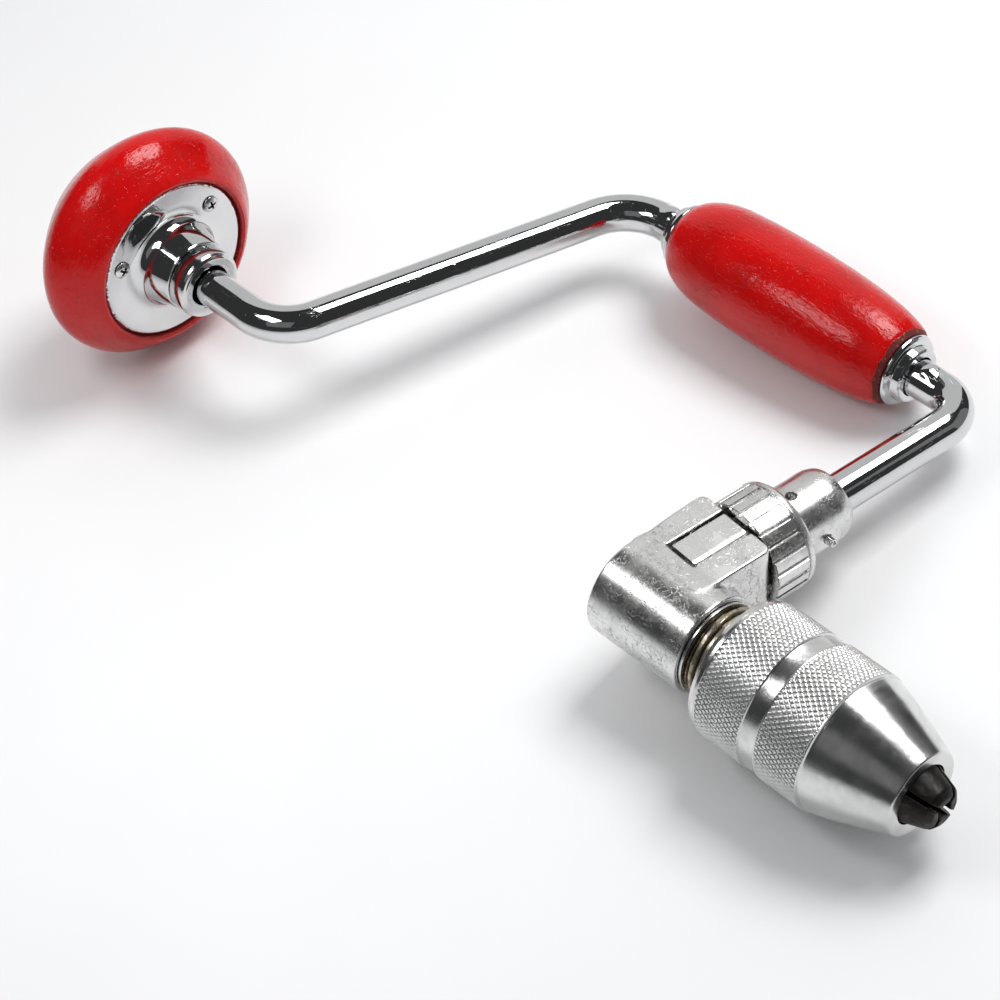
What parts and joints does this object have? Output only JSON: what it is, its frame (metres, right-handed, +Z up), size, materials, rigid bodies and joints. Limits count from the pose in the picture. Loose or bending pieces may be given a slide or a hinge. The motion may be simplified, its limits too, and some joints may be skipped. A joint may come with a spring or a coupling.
{
  "type": "hand drill",
  "caption": "Carpenter's ratchet bit brace: turning wooden head, bent crank with sweep grip, reversible ratchet body and knurled screw chuck with gripping jaws.",
  "frame": {"origin": "centre of the bounding box on the table it lies on", "axes": "+X from the head towards the chuck, +Y towards the sweep grip, +Z up from the table"},
  "size_m": [0.3748, 0.1844, 0.081],
  "materials": {
    "lacquered_wood": "gloss red lacquer",
    "chrome_plate": "mirror",
    "cast_chrome": "satin plated casting",
    "bright_steel": "bright",
    "oiled_steel": "oiled",
    "black_steel": "black oxide"
  },
  "bodies": {
    "crank": {"crank_bar": "chrome_plate", "head_race_front": "bright_steel", "head_retaining_ring": "bright_steel", "arm_collar": "cast_chrome", "collar_pin": "bright_steel", "detent_ball": "bright_steel", "detent_spring": "bright_steel", "ratchet_body": "cast_chrome", "rear_cap": "cast_chrome", "pawl_pin_top": "bright_steel", "pawl_pin_bottom": "bright_steel", "pawl_spring_top": "bright_steel", "pawl_spring_bottom": "bright_steel"},
    "head": {"head_wood": "lacquered_wood", "head_plate": "chrome_plate", "head_neck_ring": "chrome_plate", "head_screw_1": "bright_steel", "head_screw_2": "bright_steel", "head_screw_3": "bright_steel", "head_race_rear": "bright_steel", "head_ball_cage": "bright_steel"},
    "grip": {"grip_wood": "lacquered_wood", "grip_ferrule_upper": "chrome_plate", "grip_ferrule_lower": "chrome_plate"},
    "selector": {"selector_ring": "cast_chrome"},
    "pawl_top": {"pawl_top": "cast_chrome"},
    "pawl_bottom": {"pawl_bottom": "cast_chrome"},
    "spindle": {"chuck_spindle": "oiled_steel", "ratchet_wheel": "oiled_steel", "spindle_screw": "bright_steel", "thrust_washer": "bright_steel", "jaw_spring": "bright_steel"},
    "shell_carrier": {"shell_guide_ring": "oiled_steel"},
    "shell": {"chuck_shell": "bright_steel"},
    "jaw_1": {"jaw_1": "black_steel"},
    "jaw_2": {"jaw_2": "black_steel"},
    "jaw_3": {"jaw_3": "black_steel"},
    "jaw_4": {"jaw_4": "black_steel"}
  },
  "joints": [
    {"name": "head_spin", "type": "hinge", "parent": "crank", "child": "head", "pos_m": [-0.14324, -0.05174, 0.03957], "axis": [0.9983, -0.0051, -0.0578], "continuous": true},
    {"name": "grip_spin", "type": "hinge", "parent": "crank", "child": "grip", "pos_m": [0.01749, 0.07336, 0.01922], "axis": [0.9983, -0.0051, -0.0578], "continuous": true},
    {"name": "spindle_spin", "type": "hinge", "parent": "crank", "child": "spindle", "pos_m": [0.08038, -0.05287, 0.02662], "axis": [0.9983, -0.0051, -0.0578], "continuous": true},
    {"name": "selector_turn", "type": "hinge", "parent": "crank", "child": "selector", "pos_m": [0.08348, -0.0142, 0.02305], "axis": [0.0897, 0.9917, -0.0922], "range_deg": [0, 60]},
    {"name": "pawl_top_tip", "type": "hinge", "parent": "crank", "child": "pawl_top", "pos_m": [0.08238, -0.03299, 0.03673], "axis": [-0.9943, 0.0945, 0.0498], "range_deg": [0, 7]},
    {"name": "pawl_bottom_tip", "type": "hinge", "parent": "crank", "child": "pawl_bottom", "pos_m": [0.08099, -0.03507, 0.01306], "axis": [-0.9943, 0.0945, 0.0498], "range_deg": [0, 7]},
    {"name": "shell_slide", "type": "slide", "parent": "spindle", "child": "shell_carrier", "axis": [0.9983, -0.0051, -0.0578], "range_m": [0, 0.00751]},
    {"name": "shell_turn", "type": "hinge", "parent": "shell_carrier", "child": "shell", "pos_m": [0.14627, -0.05321, 0.0228], "axis": [0.9983, -0.0051, -0.0578], "range_deg": [0, 1080]},
    {"name": "jaw_1_spread", "type": "slide", "parent": "spindle", "child": "jaw_1", "axis": [0.0581, 0.0872, 0.9945], "range_m": [0, 0.00245]},
    {"name": "jaw_2_spread", "type": "slide", "parent": "spindle", "child": "jaw_2", "axis": [0, -0.9962, 0.0873], "range_m": [0, 0.00245]},
    {"name": "jaw_3_spread", "type": "slide", "parent": "spindle", "child": "jaw_3", "axis": [-0.0581, -0.0872, -0.9945], "range_m": [0, 0.00245]},
    {"name": "jaw_4_spread", "type": "slide", "parent": "spindle", "child": "jaw_4", "axis": [0, 0.9962, -0.0873], "range_m": [0, 0.00245]}
  ],
  "couplings": [
    {"joint": "pawl_top_tip", "follows": "selector_turn", "ratio": 0.11667},
    {"joint": "pawl_bottom_tip", "follows": "selector_turn", "ratio": 0.11667},
    {"joint": "shell_slide", "follows": "shell_turn", "m_per_rad": 0.00039789},
    {"joint": "jaw_1_spread", "follows": "shell_turn", "m_per_rad": 0.00012931},
    {"joint": "jaw_2_spread", "follows": "shell_turn", "m_per_rad": 0.00012931},
    {"joint": "jaw_3_spread", "follows": "shell_turn", "m_per_rad": 0.00012931},
    {"joint": "jaw_4_spread", "follows": "shell_turn", "m_per_rad": 0.00012931}
  ]
}
